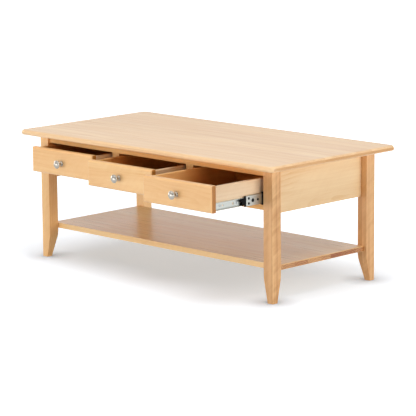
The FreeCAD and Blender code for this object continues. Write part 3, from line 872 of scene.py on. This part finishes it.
def add_eased(node, body, material, width):
    """Stands a copy with rounded edges in the place of a sharp-edged node."""
    joined = merged_mesh(node)
    bmesh.ops.dissolve_limit(joined, angle_limit=math.radians(2), verts=joined.verts, edges=joined.edges)
    mesh = bpy.data.meshes.new(f"{node}_sharp")
    joined.to_mesh(mesh)
    joined.free()
    holder = bpy.data.objects.new(f"{node}_sharp", mesh)
    ease = holder.modifiers.new("Ease", "BEVEL")
    ease.width = width
    ease.segments = 3
    ease.limit_method = "ANGLE"
    eased = evaluated_mesh(holder)
    soften(eased, SHARP_EDGE)
    add_piece(f"{node}_eased", eased, material, body, node)


def fold_cage(sheet, places, web, out, middle, metal):
    """Lays a strip along a runner, folded over at both edges, with a pocket for each ball."""
    half = metal.pocket_length / 2
    marks = [places[0] - metal.cage_overhang]
    for place in places:
        marks += [place - half, place + half]
    marks.append(places[-1] + metal.cage_overhang)
    edge = metal.cage_height / 2
    folds = [
        (metal.cage_depth, -edge), (metal.pocket_floor, -edge), (0, -edge),
        (0, edge), (metal.pocket_floor, edge), (metal.cage_depth, edge),
    ]
    rows = []
    for mark in marks:
        rows.append([sheet.verts.new((web + out * depth, mark, middle + height)) for depth, height in folds])
    for index, (row, following) in enumerate(zip(rows, rows[1:])):
        pocket = index % 2 == 1
        for column in range(len(folds) - 1):
            lip = column in (0, len(folds) - 2)
            if not (pocket and lip):
                corners = (row[column], row[column + 1], following[column + 1], following[column])
                sheet.faces.new(corners)


def add_cages(bay, metal, plastic):
    """Adds the plastic cages that hold the inner balls of a bay's two runners."""
    low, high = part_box(f"{bay}_middle_runners")
    middle = (low.z + high.z) / 2
    front = low.y + metal.cage_start
    places = [front + metal.ball_pitch * number for number in range(metal.cage_balls)]
    sheet = bmesh.new()
    for wall, out in ((low.x, 1), (high.x, -1)):
        fold_cage(sheet, places, wall + out * metal.cage_reach, out, middle, metal)
    bmesh.ops.remove_doubles(sheet, verts=sheet.verts, dist=MERGE_DISTANCE)
    bmesh.ops.recalc_face_normals(sheet, faces=sheet.faces)
    name = f"{bay}_ball_cages"
    mesh = bpy.data.meshes.new(f"{name}_sheet")
    sheet.to_mesh(mesh)
    sheet.free()
    holder = bpy.data.objects.new(f"{name}_sheet", mesh)
    wall = holder.modifiers.new("Wall", "SOLIDIFY")
    wall.thickness = metal.cage_wall
    wall.offset = 0
    wall.use_even_offset = True
    ease = holder.modifiers.new("Ease", "BEVEL")
    ease.width = metal.cage_wall / 4
    ease.segments = 2
    ease.limit_method = "ANGLE"
    cages = evaluated_mesh(holder)
    soften(cages, SHARP_EDGE)
    add_piece(name, cages, plastic, f"{bay}_runner_set")


def arc(start, end, sag, steps):
    """Points from one place on a profile to another, bowed outwards by a sag."""
    start, end = Vector(start), Vector(end)
    run = end - start
    out = Vector((run.y, -run.x)).normalized()
    parts = [step / steps for step in range(steps + 1)]
    return [start + part * run + 4 * sag * part * (1 - part) * out for part in parts]


def knob_profile(knob, reach):
    """Radius and reach from the drawer front, from the end of the bore round to the crown."""
    foot_sag, throat_sag, crown_sag = -0.0005, -0.0028, 0.00136
    head, base, neck, bore = (size / 2 for size in (knob.head, knob.base, knob.neck, knob.bore))
    ease, foot = knob.ease, knob.base_depth
    head_back = reach - knob.head_depth
    rim_front = head_back + knob.rim_depth
    cove = Vector((0.85 * head, rim_front + 3.5 * ease))
    points = [Vector((0, knob.bore_depth)), Vector((bore, knob.bore_depth)), Vector((bore, 0))]
    points += arc((base - ease, 0), (base, ease), 0.2 * ease, 3)
    points += arc((base, foot - ease), (base - ease, foot), 0.2 * ease, 3)
    points += arc((0.8 * base, foot), (neck, 0.45 * head_back), foot_sag, 6)
    points += arc((neck, 0.5 * head_back), (0.9 * head, head_back), throat_sag, 12)
    points += arc((head - 2 * ease, head_back), (head, head_back + 2 * ease), 0.4 * ease, 4)
    points += arc((head, rim_front - ease), (head - ease, rim_front), 0.2 * ease, 3)
    points += arc((0.93 * head, rim_front + ease / 2), cove, -0.8 * ease, 6)
    points += arc(cove, (0, reach), crown_sag, 12)
    return points


def lathe(profile, place, steps):
    """Turns a profile of radius and reach about a line that runs forwards from a place."""
    turned = bmesh.new()
    rings = []
    for radius, reach in profile:
        ring = []
        for step in range(steps):
            angle = 2 * math.pi * step / steps
            offset = Vector((radius * math.cos(angle), -reach, radius * math.sin(angle)))
            ring.append(turned.verts.new(place + offset))
        rings.append(ring)
    for ring, following in zip(rings, rings[1:]):
        for step in range(steps):
            ahead = (step + 1) % steps
            turned.faces.new((ring[step], ring[ahead], following[ahead], following[step]))
    bmesh.ops.remove_doubles(turned, verts=turned.verts, dist=MERGE_DISTANCE)
    bmesh.ops.recalc_face_normals(turned, faces=turned.faces)
    mesh = bpy.data.meshes.new("turned")
    turned.to_mesh(mesh)
    turned.free()
    soften(mesh, SHARP_KNOB_EDGE)
    return mesh


class TableOperator:
    """What the operators of this panel share"""
    bl_options = {"REGISTER", "UNDO"}


class TABLE_OT_top(TableOperator, bpy.types.Operator):
    """Finish the table top"""
    bl_idname = "table.top"
    bl_label = "Top"

    def execute(self, context):
        paint_board("table_top", context.scene.top_wood, ALONG_X, ALONG_Y)
        return {"FINISHED"}


class TABLE_OT_legs(TableOperator, bpy.types.Operator):
    """Finish the four legs"""
    bl_idname = "table.legs"
    bl_label = "Legs"

    def execute(self, context):
        woods = {"left": context.scene.front_wood, "right": context.scene.leg_wood}
        for end in ENDS:
            for side in SIDES:
                paint_board(f"{end}_{side}_leg", woods[side], ALONG_Z, ALONG_X)
        return {"FINISHED"}


class TABLE_OT_shelf(TableOperator, bpy.types.Operator):
    """Finish the shelf"""
    bl_idname = "table.shelf"
    bl_label = "Shelf"

    def execute(self, context):
        # The shelf's wood is paler than its own tone: painted light against the shade under the case.
        paint_board("shelf", context.scene.shelf_wood, ALONG_X, ALONG_Y)
        return {"FINISHED"}


class TABLE_OT_case(TableOperator, bpy.types.Operator):
    """Finish the panels, the front frame and what stands between the drawers"""
    bl_idname = "table.case"
    bl_label = "Case"

    def execute(self, context):
        panel, inner = context.scene.panel_wood, context.scene.inner_wood
        paint_board("back_panel", panel, ALONG_X, ALONG_Z)
        paint_board("top_rail", inner, ALONG_X, ALONG_Z)
        # The rails, stiles, partitions and cleats take the darker golden wood: painted shade under the top
        # and inside the case.
        paint_board("lower_rail", inner, ALONG_X, ALONG_Z)
        for side in SIDES:
            paint_board(f"{side}_side_panel", panel, ALONG_Y, ALONG_Z)
            paint_board(f"{side}_stile", inner, ALONG_Z, ALONG_X)
            paint_board(f"{side}_partition", inner, ALONG_Y, ALONG_Z)
        for node in ("runner_cleats", "dowels"):
            paint_board(node, inner, ALONG_Y, ALONG_Z)
        return {"FINISHED"}


class TABLE_OT_drawers(TableOperator, bpy.types.Operator):
    """Finish the drawer fronts and boxes"""
    bl_idname = "table.drawers"
    bl_label = "Drawers"

    def execute(self, context):
        front, inner = context.scene.front_wood, context.scene.inner_wood
        # The left sides, seen from inside the drawer, take the darker golden wood and the right sides the
        # pale wood, though the boards are alike: painted shade inside the drawers.
        sides = {"left": inner, "right": context.scene.drawer_wood}
        for bay in BAYS:
            paint_board(f"{bay}_drawer_front", front, ALONG_X, ALONG_Z)
            paint_board(f"{bay}_drawer_back", inner, ALONG_X, ALONG_Z)
            paint_board(f"{bay}_drawer_bottom", inner, ALONG_X, ALONG_Y)
            for side in SIDES:
                paint_board(f"{bay}_drawer_{side}_side", sides[side], ALONG_Y, ALONG_Z)
        return {"FINISHED"}


class TABLE_OT_runners(TableOperator, bpy.types.Operator):
    """Finish the runner channels and make their balls, cages, stops and mouths"""
    bl_idname = "table.runners"
    bl_label = "Runners"

    def execute(self, context):
        metal = context.scene.table_metal
        zinc = metal_material("zinc_sheet", metal.zinc, metal.zinc_roughness, ROLLED_RATES)
        steel = metal_material("ball_steel", metal.ball, metal.ball_roughness, POLISHED_RATES)
        plastic = plastic_material("black_plastic", metal.plastic)
        tree = build_ball_tree()
        for bay in BAYS:
            for kind in ("fixed", "middle", "sliding"):
                paint(f"{bay}_{kind}_runners", zinc)
            add_balls(bay, tree, steel)
            add_cages(bay, metal, plastic)
            # The mouths are black caps at the fronts of the fixed runners; they give the dark strip beside
            # each front leg, where shade falls: partly painted shade.
            for part, body in (("stops", f"{bay}_runner_set"), ("mouths", "table")):
                add_eased(f"{bay}_runner_{part}", body, plastic, metal.plastic_ease)
        return {"FINISHED"}


class TABLE_OT_screws(TableOperator, bpy.types.Operator):
    """Stand cross-headed screws in the runners and behind the knobs"""
    bl_idname = "table.screws"
    bl_label = "Screws"

    def execute(self, context):
        metal = context.scene.table_metal
        steel = metal_material("screw_steel", metal.screw, metal.screw_roughness, PLATED_RATES)
        tree = build_screw_tree()
        add_screws("fixed_runner_screws", ALONG_X, "table", metal, tree, steel)
        for bay in BAYS:
            add_screws(f"{bay}_runner_screws", ALONG_X, f"{bay}_drawer", metal, tree, steel)
            add_screws(f"{bay}_knob_screw", ALONG_Y, f"{bay}_drawer", metal, tree, steel)
        return {"FINISHED"}


class TABLE_OT_knobs(TableOperator, bpy.types.Operator):
    """Turn the knobs"""
    bl_idname = "table.knobs"
    bl_label = "Knobs"

    def execute(self, context):
        steps = 64
        metal = context.scene.table_metal
        nickel = metal_material("satin_nickel", metal.nickel, metal.nickel_roughness, TURNED_RATES)
        for bay in BAYS:
            node = f"{bay}_knob"
            low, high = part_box(node)
            place = Vector(((low.x + high.x) / 2, high.y, (low.z + high.z) / 2))
            mesh = lathe(knob_profile(context.scene.knob_shape, high.y - low.y), place, steps)
            add_piece(f"{node}_turned", mesh, nickel, f"{bay}_drawer", node)
        return {"FINISHED"}


def seen_directly(tree):
    """One where a camera, glossy or transmission ray looks, and zero for light."""
    path = tree.nodes.new("ShaderNodeLightPath").outputs
    either = calc(tree, "MAXIMUM", path["Is Camera Ray"], path["Is Glossy Ray"])
    return calc(tree, "MAXIMUM", either, path["Is Transmission Ray"])


def make_floor(stage):
    """A wide pale floor that glows nearly white where seen and keeps the shadow. Its glow is lower in an
    oval under the table, a painted shadow, and lower still round each foot, a painted contact shadow.
    """
    roughness, squareness = 0.9, 4.0
    core, rim, clear = 0.4, 1.6, 4.0
    mesh = bpy.data.meshes.new("floor")
    half = stage.floor_size / 2
    corners = [(-half, -half, 0), (half, -half, 0), (half, half, 0), (-half, half, 0)]
    mesh.from_pydata(corners, [], [(0, 1, 2, 3)])
    floor = bpy.data.objects.new("floor", mesh)
    bpy.context.scene.collection.objects.link(floor)
    material, tree, shader = new_material("pale_floor")
    shader.inputs["Base Color"].default_value = opaque(stage.floor)
    shader.inputs["Roughness"].default_value = roughness
    shader.inputs["Specular IOR Level"].default_value = 0.0
    shader.inputs["Emission Color"].default_value = WHITE
    place = tree.nodes.new("ShaderNodeTexCoord").outputs["Object"]
    # Lower glow in an oval under the table, shifted left: a painted shadow.
    spread = add(tree, "ShaderNodeSeparateXYZ", {0: place}).outputs
    sideways = calc(tree, "ADD", spread["X"], stage.shade_left)
    sides = calc(tree, "POWER", calc(tree, "DIVIDE", sideways, stage.shade_width), squareness)
    ends = calc(tree, "POWER", calc(tree, "DIVIDE", spread["Y"], stage.shade_depth), squareness)
    away = calc(tree, "POWER", calc(tree, "ADD", sides, ends), 1.0 / squareness)
    near = ramp(tree, away, core, rim, stage.near_glow, stage.foot_glow)
    far = ramp(tree, away, rim, clear, 0.0, 1.0 - stage.foot_glow)
    # Ambient occlusion dims the glow against the feet: a painted contact shadow.
    reach = {"Distance": stage.contact_shade_reach}
    open_floor = add(tree, "ShaderNodeAmbientOcclusion", reach, samples=8).outputs["AO"]
    contact = calc(tree, "POWER", open_floor, stage.contact_shade_depth)
    glow = calc(tree, "MULTIPLY", calc(tree, "ADD", near, far), contact)
    put(tree, shader.inputs["Emission Strength"], calc(tree, "MULTIPLY", seen_directly(tree), glow))
    mesh.materials.append(material)


def make_sky(stage):
    """Even white light, with a darker room at the front for the metal to mirror."""
    world = bpy.data.worlds.new("studio")
    bpy.context.scene.world = world
    world.use_nodes = True
    tree = world.node_tree
    way = tree.nodes.new("ShaderNodeTexCoord").outputs["Generated"]
    front = Vector((math.sin(stage.azimuth), -math.cos(stage.azimuth), 0))
    facing = add(tree, "ShaderNodeVectorMath", {0: way, 1: front}, operation="DOT_PRODUCT").outputs["Value"]
    height = add(tree, "ShaderNodeSeparateXYZ", {0: way}).outputs["Z"]
    low_down = ramp(tree, height, low=0.25, high=0.75, new_low=stage.dim, new_high=0.0)
    in_front = ramp(tree, facing, low=0.0, high=0.8)
    bright = calc(tree, "SUBTRACT", 1.0, calc(tree, "MULTIPLY", in_front, low_down))
    path = tree.nodes.new("ShaderNodeLightPath").outputs
    mirrored = calc(tree, "MULTIPLY", path["Is Glossy Ray"], bright)
    plain = calc(tree, "MAXIMUM", path["Is Camera Ray"], path["Is Transmission Ray"])
    seen = calc(tree, "MAXIMUM", plain, mirrored)
    background = tree.nodes["Background"]
    background.inputs["Color"].default_value = WHITE
    strength = calc(tree, "MAXIMUM", seen, calc(tree, "MULTIPLY", bright, stage.sky))
    put(tree, background.inputs["Strength"], strength)


def make_lamp(stage, name, target):
    """A wide soft lamp that faces the table."""
    place = Vector(getattr(stage, f"{name}_place"))
    lamp = bpy.data.lights.new(name, "AREA")
    lamp.shape = "RECTANGLE"
    lamp.energy = getattr(stage, name)
    lamp.size, lamp.size_y = getattr(stage, f"{name}_size")
    holder = bpy.data.objects.new(name, lamp)
    bpy.context.scene.collection.objects.link(holder)
    holder.location = place
    holder.rotation_euler = (target - place).to_track_quat("-Z", "Y").to_euler()


def make_camera(stage):
    """The camera of the photographed view."""
    around, rise, roll = stage.azimuth, stage.elevation, stage.roll
    back = Vector((math.sin(around) * math.cos(rise), -math.cos(around) * math.cos(rise), math.sin(rise)))
    level = Vector((math.cos(around), math.sin(around), 0))
    above = back.cross(level)
    right = math.cos(roll) * level + math.sin(roll) * above
    up = math.cos(roll) * above - math.sin(roll) * level
    data = bpy.data.cameras.new("view")
    data.lens = stage.lens
    data.sensor_fit = "HORIZONTAL"
    data.clip_end = stage.floor_size
    camera = bpy.data.objects.new("view", data)
    bpy.context.scene.collection.objects.link(camera)
    place = Vector((0, 0, stage.look_height)) + stage.distance * back
    place += stage.slide_right * right + stage.slide_up * up
    camera.matrix_world = Matrix.Translation(place) @ Matrix((right, up, back)).transposed().to_4x4()
    bpy.context.scene.camera = camera


class TABLE_OT_stage(TableOperator, bpy.types.Operator):
    """Set up the floor, the lamps and the camera"""
    bl_idname = "table.stage"
    bl_label = "Stage"

    def execute(self, context):
        stage = context.scene.table_stage
        context.scene.view_settings.view_transform = "Standard"
        make_floor(stage)
        make_sky(stage)
        target = Vector((0, 0, stage.look_height))
        for name in LAMPS:
            make_lamp(stage, name, target)
        make_camera(stage)
        return {"FINISHED"}


OPERATORS = (
    TABLE_OT_top, TABLE_OT_legs, TABLE_OT_shelf, TABLE_OT_case, TABLE_OT_drawers,
    TABLE_OT_runners, TABLE_OT_screws, TABLE_OT_knobs, TABLE_OT_stage,
)
SETTINGS = {
    "top_wood": TopWood,
    "front_wood": FrontWood,
    "leg_wood": LegWood,
    "panel_wood": PanelWood,
    "shelf_wood": LiftedShelfWood,
    "drawer_wood": DrawerWood,
    "inner_wood": ShadedInnerWood,
    "table_metal": MetalSettings,
    "knob_shape": KnobSettings,
    "table_stage": StageSettings,
}


class TABLE_PT_panel(bpy.types.Panel):
    """Lists the pieces of the table and their sizes and colours"""
    bl_idname = "TABLE_PT_panel"
    bl_label = "Coffee Table"
    bl_space_type = "VIEW_3D"
    bl_region_type = "UI"
    bl_category = "Coffee Table"

    def draw(self, context):
        for operator in OPERATORS:
            self.layout.operator(operator.bl_idname)
        for name, settings in SETTINGS.items():
            box = self.layout.box()
            box.label(text=settings.__doc__)
            for entry in settings.__annotations__:
                box.prop(getattr(context.scene, name), entry)


def register():
    for settings in SETTINGS.values():
        bpy.utils.register_class(settings)
    for operator in OPERATORS:
        bpy.utils.register_class(operator)
    bpy.utils.register_class(TABLE_PT_panel)
    for name, settings in SETTINGS.items():
        setattr(bpy.types.Scene, name, PointerProperty(type=settings))


def unregister():
    for name in SETTINGS:
        delattr(bpy.types.Scene, name)
    bpy.utils.unregister_class(TABLE_PT_panel)
    for operator in OPERATORS:
        bpy.utils.unregister_class(operator)
    for settings in SETTINGS.values():
        bpy.utils.unregister_class(settings)


def main():
    register()
    bpy.ops.table.top()
    bpy.ops.table.legs()
    bpy.ops.table.shelf()
    bpy.ops.table.case()
    bpy.ops.table.drawers()
    bpy.ops.table.runners()
    bpy.ops.table.screws()
    bpy.ops.table.knobs()
    bpy.ops.table.stage()


if __name__ == "__main__":
    main()
